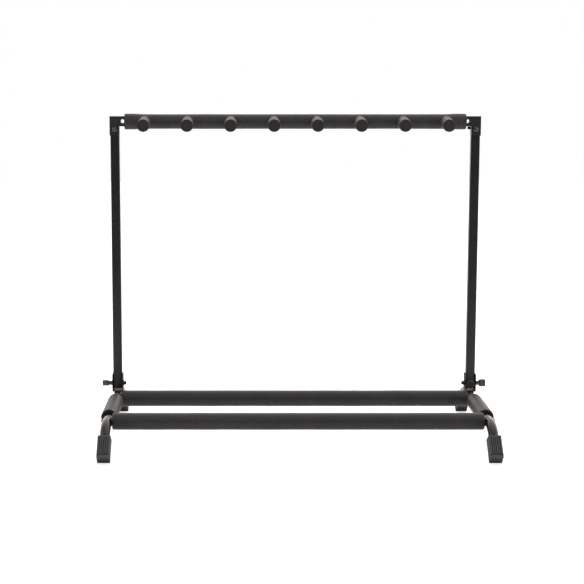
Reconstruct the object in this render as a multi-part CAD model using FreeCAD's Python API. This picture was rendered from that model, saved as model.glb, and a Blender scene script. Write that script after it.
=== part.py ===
import FreeCAD, Part
import math
import os

# Multi-guitar rack: two arched side frames on rubber boots, two foam-covered cross tubes,
# and a folding upper frame whose foam-covered rail carries a row of foam pegs.
# Millimetres. +X to the player's right, +Y to the back, +Z up.
# Origin: middle of the footprint, on the floor.

os.makedirs("parts", exist_ok=True)
V = FreeCAD.Vector

# ---- driving dimensions ----
SIDE_X = 420.0              # each side frame's middle plane
RUN = 0.05                  # clearance of a part that sits in or on another
GAP = 0.3                   # clearance between parts that move past each other
PAST = 1.0                  # how far a cutting shape runs past the face that it opens
CUT_REACH = 20.0            # half length of a cutter that passes through one whole tube

# side arches, bent from round tube
TUBE_R = 11.0
TUBE_WALL = 1.5
ARCH_Z = 68.6
BEND_R = 50.0
LEG_LEAN = math.radians(39.2)   # of each leg, from the vertical
TUBE_IN_BOOT = 39.5

# rubber boots on the leg ends
FOOT_LINE_Y = 199.0         # the edge that the boots stand on
FOOT_FLAT = 4.8
BOOT_WIDTH = 28.0
BOOT_THICK = 28.0
BOOT_FRONT_LENGTH = 47.6
BOOT_HEEL_LENGTH = 50.6
BOOT_EDGE_R = 2.0
GROOVE_COUNT = 5            # on each side of a boot
RIB_PITCH = 4.4
RIB_GROOVE = 1.5
RIB_DEPTH = 0.9
RIB_MARGIN = 2.5            # plain band at the boot's top

# foam covers
SLEEVE_R = 18.0
SLEEVE_Y = (-92.0, 44.0)
CROSS_FOAM_R = 18.5
CROSS_FOAM_HALF = 408.7
FOAM_END_R = 3.0

# cross tubes between the arches
CROSS_Y = {"front": -120.5, "rear": 67.0}
CROSS_TUBE_REACH = 418.0
CROSS_SCREW_R = 3.0
CROSS_SCREW_TIP = 394.0
CROSS_HEAD_R = 6.0
CROSS_HEAD_TALL = 3.3
SOCKET_R = 1.9              # across the corners of a hex socket, halved
SOCKET_FLOOR = 1.2          # the socket's floor above the underside of the head
INSERT_START = 396.0
INSERT_LENGTH = 12.0

# flat-sided tube of the upper frame
BAR_WIDE = 21.0
BAR_DEEP = 13.0
BAR_WALL = 1.5
BAR_EDGE_R = 2.0
UPRIGHT_Y = 97.0
UPRIGHT_Z = (87.5, 731.3)

# base brackets and their clamp bolts
PIVOT_Z = 98.0
PIVOT_R = 4.0
SHEET = 1.5
CHEEK_GAP = 0.3
BRACKET_DEEP = 25.0
BRACKET_FLOOR = (79.8, 81.3)
BRACKET_TOP = 121.5
STOP_Z = (108.0, 118.0)
CHEEK_CORNER_R = 4.0
SADDLE_HALF_WIDE = 8.0
SADDLE_INSET = 2.0
WASHER_THICK = 1.2
HEAD_WASHER_R = 7.5
KNOB_WASHER_R = 7.0
KNOB_WASHER_THICK = 1.5
KNOB_NECK_R = 5.0
KNOB_NECK_END = 441.3
KNOB_END = 456.3
KNOB_HALF_TALL = 8.9
KNOB_HALF_WIDE = 6.2
KNOB_BACK_BEVEL = 2.0
KNOB_FRONT_R = 1.2
KNOB_TURN = {"left": 50.0, "right": 0.0}
BOLT_HEAD_END = 400.2
BOLT_HEAD_R = 4.15
BOLT_FLARE_R = 6.5
BOLT_FLARE_LONG = 3.0
BOLT_RECESS_R = 2.2
BOLT_RECESS_DEEP = 3.0
BOLT_TIP = 452.5

# round lock knob on the right upright's foot
LOCK_Z = 96.5
LOCK_R = 10.2
LOCK_FACE = 10.9            # from the upright's middle plane to the knob's front face
LOCK_THICK = 3.1
LOCK_RIM = 2.0
LOCK_DISH = 1.2             # depth of the dish inside the rim
LOCK_EDGE_R = 0.8
LOCK_STUD_R = 2.5
LOCK_WASHER_R = 8.0
LOCK_WASHER_THICK = 0.8

# plugs in the uprights' lower ends
PLUG_STEM = 4.5
PLUG_FLANGE = 1.2

# corner brackets at the top
ARM_Z = (709.5, 733.0)
CORNER_BOTTOM = 688.0
ARM_INNER_X = 365.0
FOLD_R = 1.2
CORNER_BOLT_Z = 702.5
CORNER_BOLT_R = 3.0
CORNER_BOLT_LONG = 31.0
CORNER_DOME_R = 6.8
CORNER_DOME_TALL = 4.2
SPARE_HOLE_X = 402.0
SPARE_HOLE_R = 4.8
RAIL_BOLT_X = 378.0
RAIL_BOLT_R = 2.5
RAIL_DOME_R = 5.0
RAIL_DOME_TALL = 2.6
RAIL_NUT_R = 4.6
RAIL_NUT_THICK = 3.2
WING_WASHER_R = 7.0
WING_HUB_R = (5.6, 4.6)
WING_HUB_LONG = 8.0
WING_LOBE_SPAN = (1.5, 7.5)     # along the nut, from its inner face
WING_WEB_SPAN = (2.0, 7.0)
WING_WEB_HALF = 2.2
WING_TURN = {"left": 90.0, "right": 12.0}
WING_REACH = 12.3
WING_LOBE_R = 3.5

# rail and pegs
RAIL_Z = 720.5
RAIL_HALF = 392.0
RAIL_FOAM_R = 17.05
RAIL_FOAM_HALF = 397.0
RAIL_FOAM_END_R = 2.0
PEG_COUNT = 8
PEG_PITCH = 100.0
PEG_R = 14.7
PEG_TIP_R = 2.0
PEG_ROOT = 8.0              # where a peg's blank starts, inside the rail's foam
PEG_REACH = 57.0            # from the rail's axis to the peg's face
PEG_DROOP = math.radians(8.0)
PEG_ROD_R = 4.0
PEG_ROD_START = -4.4
PEG_ROD_END = 52.0

LEG_UP = V(0, math.sin(LEG_LEAN), math.cos(LEG_LEAN))
PEG_DIR = V(0, -math.cos(PEG_DROOP), -math.sin(PEG_DROOP))
X_AXIS = V(1, 0, 0)
Y_AXIS = V(0, 1, 0)
Z_AXIS = V(0, 0, 1)


# ---- helpers ----
def save(shape, node):
    """write one sub-part; loose solids of a group are kept as a compound"""
    shape.exportStep("parts/%s.step" % node)


def block(x, y, z):
    """box from three (low, high) pairs"""
    return Part.makeBox(x[1] - x[0], y[1] - y[0], z[1] - z[0], V(x[0], y[0], z[0]))


def rod_x(radius, x0, x1, y, z):
    return Part.makeCylinder(radius, x1 - x0, V(x0, y, z), X_AXIS)


def rod_y(radius, y0, y1, x, z):
    return Part.makeCylinder(radius, y1 - y0, V(x, y0, z), Y_AXIS)


def mirrored_x(shape):
    return shape.mirror(V(0, 0, 0), X_AXIS)


def mirrored_y(shape):
    return shape.mirror(V(0, 0, 0), Y_AXIS)


def on_side(shape, side):
    """a shape made for the right side, put on the named side"""
    if side == "left":
        return mirrored_x(shape)
    return shape


def round_edges(shape, radius, wanted):
    """fillet the edges whose middle point and direction satisfy wanted(middle, direction)"""
    picked = []
    for edge in shape.Edges:
        first, last = edge.ParameterRange
        middle = edge.valueAt((first + last) / 2)
        direction = edge.tangentAt((first + last) / 2)
        if wanted(middle, direction):
            picked.append(edge)
    return shape.makeFillet(radius, picked)


def circle_edges(shape, radius):
    """a shape's circular edges of one radius"""
    circles = [edge for edge in shape.Edges if isinstance(edge.Curve, Part.Circle)]
    return [edge for edge in circles if abs(edge.Curve.Radius - radius) < 0.01]


def hexagon(radius, z):
    """level six-sided face at a height, with a corner on X"""
    angles = [math.radians(60 * count) for count in range(6)]
    corners = [V(radius * math.cos(a), radius * math.sin(a), z) for a in angles]
    return Part.Face(Part.makePolygon(corners + [corners[0]]))


def foam_tube(radius, bore, start, length, direction, end_round):
    """foam pipe with softly rounded outer ends"""
    solid = Part.makeCylinder(radius, length, start, direction)
    solid = solid.makeFillet(end_round, circle_edges(solid, radius))
    return solid.cut(Part.makeCylinder(bore, length, start, direction))


def bar_tube(low, high, axis):
    """flat-sided tube: axis "z" stands with its wide face forward, axis "x" lies on edge"""
    half_wide = BAR_WIDE / 2
    half_deep = BAR_DEEP / 2
    inset = BAR_WALL
    outer = block((-half_wide, half_wide), (-half_deep, half_deep), (low, high))
    outer = round_edges(outer, BAR_EDGE_R, lambda middle, way: abs(way.z) > 0.9)
    inner = block((-half_wide + inset, half_wide - inset), (-half_deep + inset, half_deep - inset),
                  (low, high))
    tube = outer.cut(inner)
    if axis == "x":
        tube.rotate(V(0, 0, 0), Y_AXIS, 90)
    return tube


# ---- side arches ----
def boot_top_centre():
    """where the front leg's axis leaves its boot"""
    half = BOOT_THICK / 2
    heel_y = -FOOT_LINE_Y + FOOT_FLAT
    y = heel_y + BOOT_HEEL_LENGTH * math.sin(LEG_LEAN) - half * math.cos(LEG_LEAN)
    z = BOOT_HEEL_LENGTH * math.cos(LEG_LEAN) + half * math.sin(LEG_LEAN)
    return V(0, y, z)


def arch_path():
    """centre line of one arch in the plane X = 0, from boot to boot"""
    top = boot_top_centre()
    start = top - LEG_UP * TUBE_IN_BOOT
    corner = top + LEG_UP * ((ARCH_Z - top.z) / LEG_UP.z)
    turn = math.pi / 2 - LEG_LEAN
    tangent = BEND_R * math.tan(turn / 2)
    bend_low = corner - LEG_UP * tangent
    bend_high = corner + Y_AXIS * tangent
    centre = bend_high - Z_AXIS * BEND_R
    middle = centre + V(0, -math.sin(turn / 2), math.cos(turn / 2)) * BEND_R
    front = [start, bend_low, middle, bend_high]
    rear = [V(0, -point.y, point.z) for point in reversed(front)]
    edges = [Part.makeLine(front[0], front[1]),
             Part.Arc(front[1], front[2], front[3]).toShape(),
             Part.makeLine(front[3], rear[0]),
             Part.Arc(rear[0], rear[1], rear[2]).toShape(),
             Part.makeLine(rear[2], rear[3])]
    return Part.Wire(edges), start


def arch_tube():
    path, start = arch_path()
    solids = []
    for radius in (TUBE_R, TUBE_R - TUBE_WALL):
        ring = Part.Wire([Part.Circle(start, LEG_UP, radius).toShape()])
        solids.append(path.makePipeShell([ring], True, False))
    tube = solids[0].cut(solids[1])
    tube.translate(V(SIDE_X, 0, 0))
    for y in CROSS_Y.values():
        tube = tube.cut(rod_x(CROSS_SCREW_R + RUN, SIDE_X - CUT_REACH, SIDE_X + CUT_REACH, y, ARCH_Z))
    return tube


def boot():
    """front right boot: a ribbed rubber cap square to the leg, standing on a small flat"""
    half = BOOT_THICK / 2
    side = BOOT_WIDTH / 2
    heel = V(0, half, -BOOT_HEEL_LENGTH)
    flat = V(0, -math.cos(LEG_LEAN), -math.sin(LEG_LEAN)) * FOOT_FLAT
    outline = [V(0, -half, 0), V(0, half, 0), heel, heel + flat, V(0, -half, -BOOT_FRONT_LENGTH)]
    face = Part.Face(Part.makePolygon(outline + [outline[0]]))
    face.translate(V(-side, 0, 0))
    solid = face.extrude(V(BOOT_WIDTH, 0, 0))
    solid = round_edges(solid, BOOT_EDGE_R, lambda middle, way: abs(way.z) > 0.99)
    solid = solid.cut(boot_grooves())
    solid = solid.cut(Part.makeCylinder(TUBE_R + RUN, TUBE_IN_BOOT, V(0, 0, -TUBE_IN_BOOT), Z_AXIS))
    solid.rotate(V(0, 0, 0), X_AXIS, -math.degrees(LEG_LEAN))
    solid.translate(boot_top_centre() + V(SIDE_X, 0, 0))
    return solid


def boot_grooves():
    """straight grooves that leave ribs along all four sides of a boot"""
    low = -BOOT_HEEL_LENGTH - FOOT_FLAT
    span = (low, -RIB_MARGIN)
    grooves = []
    for count in range(GROOVE_COUNT):
        middle = (count - (GROOVE_COUNT - 1) / 2) * RIB_PITCH
        across = (middle - RIB_GROOVE / 2, middle + RIB_GROOVE / 2)
        for sign in (-1, 1):
            face_v = sorted((sign * (BOOT_THICK / 2 - RIB_DEPTH), sign * (BOOT_THICK / 2 + PAST)))
            face_u = sorted((sign * (BOOT_WIDTH / 2 - RIB_DEPTH), sign * (BOOT_WIDTH / 2 + PAST)))
            grooves.append(block(across, face_v, span))
            grooves.append(block(face_u, across, span))
    return Part.makeCompound(grooves)


def arch_sleeve():
    length = SLEEVE_Y[1] - SLEEVE_Y[0]
    start = V(SIDE_X, SLEEVE_Y[0], ARCH_Z)
    return foam_tube(SLEEVE_R, TUBE_R + RUN, start, length, Y_AXIS, FOAM_END_R)


# ---- cross tubes ----
def cross_tube(y):
    """round tube whose ends are shaped to hug the arches"""
    tube = rod_x(TUBE_R, -CROSS_TUBE_REACH, CROSS_TUBE_REACH, y, ARCH_Z)
    tube = tube.cut(rod_x(TUBE_R - TUBE_WALL, -CROSS_TUBE_REACH, CROSS_TUBE_REACH, y, ARCH_Z))
    for x in (-SIDE_X, SIDE_X):
        tube = tube.cut(rod_y(TUBE_R + RUN, y - CUT_REACH, y + CUT_REACH, x, ARCH_Z))
    return tube


def cross_foam(y):
    start = V(-CROSS_FOAM_HALF, y, ARCH_Z)
    return foam_tube(CROSS_FOAM_R, TUBE_R + RUN, start, 2 * CROSS_FOAM_HALF, X_AXIS, FOAM_END_R)


def dome_head(radius, height, length, shank_radius):
    """round-headed bolt along +Z: the head's top at z = height, the shank below z = 0"""
    sphere_r = (radius ** 2 + height ** 2) / (2 * height)
    ball = Part.makeSphere(sphere_r, V(0, 0, height - sphere_r))
    head = ball.common(Part.makeCylinder(radius, height, V(0, 0, 0), Z_AXIS))
    return head.fuse(Part.makeCylinder(shank_radius, length, V(0, 0, -length), Z_AXIS))


def cross_screws():
    seat = SIDE_X + TUBE_R + RUN
    screws = []
    for y in CROSS_Y.values():
        screw = dome_head(CROSS_HEAD_R, CROSS_HEAD_TALL, seat - CROSS_SCREW_TIP, CROSS_SCREW_R)
        screw = screw.cut(hexagon(SOCKET_R, SOCKET_FLOOR).extrude(Z_AXIS * CROSS_HEAD_TALL))
        screw.rotate(V(0, 0, 0), Y_AXIS, 90)
        screw.translate(V(seat, y, ARCH_Z))
        screws += [screw, mirrored_x(screw)]
    return Part.makeCompound(screws)


def cross_inserts():
    """threaded plugs inside the cross tubes' ends"""
    end = INSERT_START + INSERT_LENGTH
    plugs = []
    for y in CROSS_Y.values():
        plug = rod_x(TUBE_R - TUBE_WALL - RUN, INSERT_START, end, y, ARCH_Z)
        plug = plug.cut(rod_x(CROSS_SCREW_R + RUN, INSERT_START, end, y, ARCH_Z))
        plugs += [plug, mirrored_x(plug)]
    return Part.makeCompound(plugs)


# ---- base brackets and clamp bolts ----
def base_bracket():
    """bent-sheet shoe, open at the front, welded on the arch; its rear strap stops the upright"""
    inner = BAR_WIDE / 2 + CHEEK_GAP
    outer = inner + SHEET
    y_span = (UPRIGHT_Y - BRACKET_DEEP / 2, UPRIGHT_Y + BRACKET_DEEP / 2)
    shoe = block((SIDE_X - outer, SIDE_X + outer), y_span, BRACKET_FLOOR)
    for low, high in ((-outer, -inner), (inner, outer)):
        cheek = block((SIDE_X + low, SIDE_X + high), y_span, (BRACKET_FLOOR[0], BRACKET_TOP))
        cheek = round_edges(cheek, CHEEK_CORNER_R,
                            lambda middle, way: abs(way.x) > 0.9 and middle.z > BRACKET_TOP - 0.1)
        shoe = shoe.fuse(cheek)
    stop_y = UPRIGHT_Y + BAR_DEEP / 2 + GAP
    shoe = shoe.fuse(block((SIDE_X - outer, SIDE_X + outer), (stop_y, stop_y + SHEET), STOP_Z))
    saddle = block((SIDE_X - SADDLE_HALF_WIDE, SIDE_X + SADDLE_HALF_WIDE),
                   (y_span[0] + SADDLE_INSET, y_span[1] - SADDLE_INSET), (ARCH_Z, BRACKET_FLOOR[0]))
    shoe = shoe.fuse(saddle.cut(rod_y(TUBE_R + RUN, y_span[0], y_span[1], SIDE_X, ARCH_Z)))
    shoe = shoe.cut(rod_x(PIVOT_R + RUN, SIDE_X - CUT_REACH, SIDE_X + CUT_REACH, UPRIGHT_Y, PIVOT_Z))
    return shoe.removeSplitter()


def bracket_face(outward):
    """X of a base bracket's outer (+1) or inner (-1) cheek face"""
    return SIDE_X + outward * (BAR_WIDE / 2 + CHEEK_GAP + SHEET)


def pivot_bolt():
    """clamp bolt along X with a flared head on the inner side"""
    flare_end = bracket_face(-1) - WASHER_THICK
    head = rod_x(BOLT_HEAD_R, BOLT_HEAD_END, flare_end, UPRIGHT_Y, PIVOT_Z)
    flare_start = V(flare_end - BOLT_FLARE_LONG, UPRIGHT_Y, PIVOT_Z)
    flare = Part.makeCone(BOLT_HEAD_R, BOLT_FLARE_R, BOLT_FLARE_LONG, flare_start, X_AXIS)
    shank = rod_x(PIVOT_R, flare_end, BOLT_TIP, UPRIGHT_Y, PIVOT_Z)
    recess_end = BOLT_HEAD_END + BOLT_RECESS_DEEP
    recess = rod_x(BOLT_RECESS_R, BOLT_HEAD_END, recess_end, UPRIGHT_Y, PIVOT_Z)
    return head.fuse(flare).fuse(shank).cut(recess).removeSplitter()


def ring_x(outer_r, bore_r, x0, x1):
    ring = rod_x(outer_r, x0, x1, UPRIGHT_Y, PIVOT_Z)
    return ring.cut(rod_x(bore_r, x0, x1, UPRIGHT_Y, PIVOT_Z))


def head_washers():
    face = bracket_face(-1)
    washer = ring_x(HEAD_WASHER_R, PIVOT_R + RUN, face - WASHER_THICK, face)
    return Part.makeCompound([washer, mirrored_x(washer)])


def knob_washer():
    low = bracket_face(1) + GAP
    return ring_x(KNOB_WASHER_R, PIVOT_R + RUN, low, low + KNOB_WASHER_THICK)


def thumb_knob(turn):
    """oval paddle knob with a round neck, threaded on the pivot bolt; turn is its resting angle"""
    neck_start = bracket_face(1) + GAP + KNOB_WASHER_THICK + GAP
    neck = rod_x(KNOB_NECK_R, neck_start, KNOB_NECK_END + KNOB_BACK_BEVEL, 0, 0)
    oval = Part.Ellipse(V(0, 0, 0), KNOB_HALF_TALL, KNOB_HALF_WIDE)
    thick = KNOB_END - KNOB_NECK_END
    paddle = Part.Face(Part.Wire([oval.toShape()])).extrude(V(0, 0, thick))
    back_rim = [edge for edge in paddle.Edges if edge.BoundBox.ZMax < 0.1]
    paddle = paddle.makeChamfer(KNOB_BACK_BEVEL, back_rim)
    front_rim = [edge for edge in paddle.Edges if edge.BoundBox.ZMin > thick - 0.1]
    paddle = paddle.makeFillet(KNOB_FRONT_R, front_rim)
    paddle.rotate(V(0, 0, 0), Y_AXIS, 90)
    paddle.translate(V(KNOB_NECK_END, 0, 0))
    knob = neck.fuse(paddle)
    knob.rotate(V(0, 0, 0), X_AXIS, turn)
    knob = knob.cut(rod_x(PIVOT_R + RUN, neck_start, BOLT_TIP + PAST, 0, 0))
    knob.translate(V(0, UPRIGHT_Y, PIVOT_Z))
    return knob


# ---- uprights ----
def upright(side):
    tube = bar_tube(UPRIGHT_Z[0], UPRIGHT_Z[1], "z")
    tube.translate(V(SIDE_X, UPRIGHT_Y, 0))
    front = UPRIGHT_Y - CUT_REACH
    back = UPRIGHT_Y + CUT_REACH
    tube = tube.cut(rod_x(PIVOT_R + RUN, SIDE_X - CUT_REACH, SIDE_X + CUT_REACH, UPRIGHT_Y, PIVOT_Z))
    tube = tube.cut(rod_y(CORNER_BOLT_R + RUN, front, back, SIDE_X, CORNER_BOLT_Z))
    if side == "right":
        tube = tube.cut(rod_y(LOCK_STUD_R + RUN, front, UPRIGHT_Y, SIDE_X, LOCK_Z))
    return on_side(tube, side)


def pivot_bushing(side):
    """spacer tube that keeps the clamp bolt from crushing the upright"""
    reach = BAR_WIDE / 2 - BAR_WALL - RUN
    bushing = ring_x(BAR_DEEP / 2 - BAR_WALL - RUN, PIVOT_R + RUN, SIDE_X - reach, SIDE_X + reach)
    if side == "right":
        bushing = bushing.cut(rod_y(LOCK_STUD_R + RUN, UPRIGHT_Y - BAR_DEEP, UPRIGHT_Y, SIDE_X, LOCK_Z))
    return on_side(bushing, side)


def upright_plugs():
    """plastic plugs in the uprights' lower ends"""
    half_wide = BAR_WIDE / 2
    half_deep = BAR_DEEP / 2
    inset = BAR_WALL + RUN
    low = UPRIGHT_Z[0]
    stem = block((-half_wide + inset, half_wide - inset), (-half_deep + inset, half_deep - inset),
                 (low, low + PLUG_STEM))
    flange = block((-half_wide, half_wide), (-half_deep, half_deep), (low - PLUG_FLANGE, low))
    flange = round_edges(flange, BAR_EDGE_R, lambda middle, way: abs(way.z) > 0.9)
    plug = stem.fuse(flange)
    plug.translate(V(SIDE_X, UPRIGHT_Y, 0))
    return Part.makeCompound([plug, mirrored_x(plug)])


# ---- lock knob ----
def lock_knob():
    """low round knob with a rimmed face; its stud bears on the right pivot bolt"""
    front = UPRIGHT_Y - LOCK_FACE
    disc = rod_y(LOCK_R, front, front + LOCK_THICK, SIDE_X, LOCK_Z)
    disc = round_edges(disc, LOCK_EDGE_R, lambda middle, way: middle.y < front + 0.1 and abs(way.y) < 0.1)
    disc = disc.cut(rod_y(LOCK_R - LOCK_RIM, front - PAST, front + LOCK_DISH, SIDE_X, LOCK_Z))
    stud = rod_y(LOCK_STUD_R, front + LOCK_THICK, UPRIGHT_Y - PIVOT_R - GAP, SIDE_X, LOCK_Z)
    return disc.fuse(stud).removeSplitter()


def lock_washer():
    high = UPRIGHT_Y - BAR_DEEP / 2 - GAP
    low = high - LOCK_WASHER_THICK
    ring = rod_y(LOCK_WASHER_R, low, high, SIDE_X, LOCK_Z)
    return ring.cut(rod_y(LOCK_STUD_R + RUN, low, high, SIDE_X, LOCK_Z))


# ---- corner brackets ----
def corner_bracket():
    """L-shaped channel of folded sheet over the upright's top, open below and on the inner side"""
    inner_x = SIDE_X - BAR_WIDE / 2
    outer_x = SIDE_X + BAR_WIDE / 2 + SHEET
    front = UPRIGHT_Y - BAR_DEEP / 2 - SHEET
    back = UPRIGHT_Y + BAR_DEEP / 2 + SHEET
    leg = block((inner_x, outer_x), (front, back), (CORNER_BOTTOM, ARM_Z[1]))
    arm = block((ARM_INNER_X, outer_x), (front, back), ARM_Z)
    shell = leg.fuse(arm).removeSplitter()

    def fold(middle, way):
        upright_fold = abs(way.z) > 0.9 and middle.x > outer_x - 0.1
        top_fold = abs(way.x) > 0.9 and middle.z > ARM_Z[1] - 0.1
        return upright_fold or top_fold
    shell = round_edges(shell, FOLD_R, fold)
    hollow_y = (front + SHEET, back - SHEET)
    hollow_top = ARM_Z[1] - SHEET
    shell = shell.cut(block((inner_x, outer_x - SHEET), hollow_y, (CORNER_BOTTOM, hollow_top)))
    shell = shell.cut(block((ARM_INNER_X, outer_x - SHEET), hollow_y, (ARM_Z[0], hollow_top)))
    for radius, x, z in ((CORNER_BOLT_R, SIDE_X, CORNER_BOLT_Z), (RAIL_BOLT_R, RAIL_BOLT_X, RAIL_Z),
                         (SPARE_HOLE_R - RUN, SPARE_HOLE_X, sum(ARM_Z) / 2)):
        shell = shell.cut(rod_y(radius + RUN, front - PAST, back + PAST, x, z))
    return shell


def corner_bolts():
    """carriage bolts with plain domes in front"""
    front = UPRIGHT_Y - BAR_DEEP / 2 - SHEET
    bolt = dome_head(CORNER_DOME_R, CORNER_DOME_TALL, CORNER_BOLT_LONG, CORNER_BOLT_R)
    bolt.rotate(V(0, 0, 0), X_AXIS, 90)
    bolt.translate(V(SIDE_X, front, CORNER_BOLT_Z))
    return Part.makeCompound([bolt, mirrored_x(bolt)])


def wing_washer():
    low = UPRIGHT_Y + BAR_DEEP / 2 + SHEET + GAP
    high = low + WASHER_THICK
    ring = rod_y(WING_WASHER_R, low, high, SIDE_X, CORNER_BOLT_Z)
    return ring.cut(rod_y(CORNER_BOLT_R + RUN, low, high, SIDE_X, CORNER_BOLT_Z))


def wing_nut(turn):
    """two-lobed nut behind the corner; turn tilts its outer lobe down"""
    low = UPRIGHT_Y + BAR_DEEP / 2 + SHEET + 2 * GAP + WASHER_THICK
    lobe = [low + offset for offset in WING_LOBE_SPAN]
    web = [low + offset for offset in WING_WEB_SPAN]
    nut = Part.makeCone(WING_HUB_R[0], WING_HUB_R[1], WING_HUB_LONG, V(0, low, 0), Y_AXIS)
    for x in (-WING_REACH, WING_REACH):
        nut = nut.fuse(rod_y(WING_LOBE_R, lobe[0], lobe[1], x, 0))
    nut = nut.fuse(block((-WING_REACH, WING_REACH), web, (-WING_WEB_HALF, WING_WEB_HALF)))
    nut = nut.removeSplitter()
    nut.rotate(V(0, 0, 0), Y_AXIS, turn)
    nut = nut.cut(rod_y(CORNER_BOLT_R + RUN, low - PAST, low + WING_HUB_LONG + PAST, 0, 0))
    nut.translate(V(SIDE_X, 0, CORNER_BOLT_Z))
    return nut


# ---- rail and pegs ----
def peg_positions():
    first = -PEG_PITCH * (PEG_COUNT - 1) / 2
    return [first + PEG_PITCH * count for count in range(PEG_COUNT)]


def peg_cylinder(radius, start, end, x):
    """cylinder along a peg's axis, between two distances from the rail's axis"""
    base = V(x, UPRIGHT_Y, RAIL_Z) + PEG_DIR * start
    return Part.makeCylinder(radius, end - start, base, PEG_DIR)


def rail_tube():
    tube = bar_tube(-RAIL_HALF, RAIL_HALF, "x")
    tube.translate(V(0, UPRIGHT_Y, RAIL_Z))
    for x in peg_positions():
        tube = tube.cut(peg_cylinder(PEG_ROD_R + RUN, 0, BAR_DEEP, x))
    for x in (-RAIL_BOLT_X, RAIL_BOLT_X):
        tube = tube.cut(rod_y(RAIL_BOLT_R + RUN, UPRIGHT_Y - CUT_REACH, UPRIGHT_Y + CUT_REACH, x, RAIL_Z))
    return tube


def rail_foam():
    """foam pipe over the rail; its ends also swallow the corner brackets' arms"""
    foam = rod_x(RAIL_FOAM_R, -RAIL_FOAM_HALF, RAIL_FOAM_HALF, UPRIGHT_Y, RAIL_Z)
    foam = foam.makeFillet(RAIL_FOAM_END_R, circle_edges(foam, RAIL_FOAM_R))
    half_deep = BAR_DEEP / 2 + RUN
    half_wide = BAR_WIDE / 2 + RUN
    middle_end = ARM_INNER_X - RUN
    foam = foam.cut(block((-middle_end, middle_end), (UPRIGHT_Y - half_deep, UPRIGHT_Y + half_deep),
                          (RAIL_Z - half_wide, RAIL_Z + half_wide)))
    arm_y = (UPRIGHT_Y - half_deep - SHEET, UPRIGHT_Y + half_deep + SHEET)
    pocket = block((middle_end, RAIL_FOAM_HALF), arm_y, (ARM_Z[0] - RUN, ARM_Z[1] + RUN))
    bolt_y = (arm_y[0] - RAIL_DOME_TALL - GAP, arm_y[1] + RAIL_NUT_THICK + GAP)
    bolt_pocket = rod_y(RAIL_DOME_R + GAP, bolt_y[0], bolt_y[1], RAIL_BOLT_X, RAIL_Z)
    for hollow in (pocket, bolt_pocket):
        foam = foam.cut(hollow).cut(mirrored_x(hollow))
    for x in peg_positions():
        foam = foam.cut(peg_cylinder(PEG_ROD_R + RUN, 0, RAIL_FOAM_R + PAST, x))
    return foam


def peg_foam(x):
    """foam peg cut to sit on the rail's round foam"""
    peg = peg_cylinder(PEG_R, PEG_ROOT, PEG_REACH, x)
    tip = V(x, UPRIGHT_Y, RAIL_Z) + PEG_DIR * PEG_REACH
    rims = [edge for edge in circle_edges(peg, PEG_R) if (edge.Curve.Center - tip).Length < 0.1]
    peg = peg.makeFillet(PEG_TIP_R, rims)
    peg = peg.cut(rod_x(RAIL_FOAM_R + RUN, x - CUT_REACH, x + CUT_REACH, UPRIGHT_Y, RAIL_Z))
    return peg.cut(peg_cylinder(PEG_ROD_R + RUN, 0, PEG_ROD_END + RUN, x))


def peg_rod(x):
    """steel rod from the rail tube's back wall to near the peg's face"""
    return peg_cylinder(PEG_ROD_R, PEG_ROD_START, PEG_ROD_END, x)


def rail_fasteners():
    """bolts and nuts that hold the rail in the corner brackets' arms, under the foam"""
    front = UPRIGHT_Y - BAR_DEEP / 2 - SHEET
    back = UPRIGHT_Y + BAR_DEEP / 2 + SHEET
    bolt = dome_head(RAIL_DOME_R, RAIL_DOME_TALL, back - front + RAIL_NUT_THICK, RAIL_BOLT_R)
    bolt.rotate(V(0, 0, 0), X_AXIS, 90)
    bolt.translate(V(RAIL_BOLT_X, front, RAIL_Z))
    nut = hexagon(RAIL_NUT_R, 0).extrude(Z_AXIS * RAIL_NUT_THICK)
    nut = nut.cut(Part.makeCylinder(RAIL_BOLT_R + RUN, RAIL_NUT_THICK))
    nut.rotate(V(0, 0, 0), X_AXIS, -90)
    nut.translate(V(RAIL_BOLT_X, back, RAIL_Z))
    bolts = Part.makeCompound([bolt, mirrored_x(bolt)])
    nuts = Part.makeCompound([nut, mirrored_x(nut)])
    return bolts, nuts


# ---- write every node ----
for side in ("left", "right"):
    save(on_side(arch_tube(), side), side + "_arch_tube")
    save(on_side(arch_sleeve(), side), side + "_arch_sleeve")
    save(on_side(boot(), side), "front_%s_boot" % side)
    save(mirrored_y(on_side(boot(), side)), "rear_%s_boot" % side)
    save(on_side(base_bracket(), side), side + "_base_bracket")
    save(on_side(pivot_bolt(), side), side + "_pivot_bolt")
    save(on_side(knob_washer(), side), side + "_knob_washer")
    save(on_side(thumb_knob(KNOB_TURN[side]), side), side + "_thumb_knob")
    save(upright(side), side + "_upright")
    save(pivot_bushing(side), side + "_pivot_bushing")
    save(on_side(corner_bracket(), side), side + "_corner_bracket")
    save(on_side(wing_washer(), side), side + "_wing_washer")
    save(on_side(wing_nut(WING_TURN[side]), side), side + "_wing_nut")

for place, cross_y in CROSS_Y.items():
    save(cross_tube(cross_y), place + "_cross_tube")
    save(cross_foam(cross_y), place + "_cross_foam")

save(cross_screws(), "cross_tube_screws")
save(cross_inserts(), "cross_tube_inserts")
save(head_washers(), "pivot_head_washers")
save(upright_plugs(), "upright_plugs")
save(lock_knob(), "lock_knob")
save(lock_washer(), "lock_washer")
save(corner_bolts(), "corner_bolts")
save(rail_tube(), "rail_tube")
save(rail_foam(), "rail_foam")
rail_bolts, rail_nuts = rail_fasteners()
save(rail_bolts, "rail_bolts")
save(rail_nuts, "rail_nuts")

for number, peg_x in enumerate(peg_positions(), start=1):
    save(peg_foam(peg_x), "peg_foam_%d" % number)
    save(peg_rod(peg_x), "peg_rod_%d" % number)
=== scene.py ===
import math

import bmesh
import bpy
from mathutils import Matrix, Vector, noise


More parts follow.
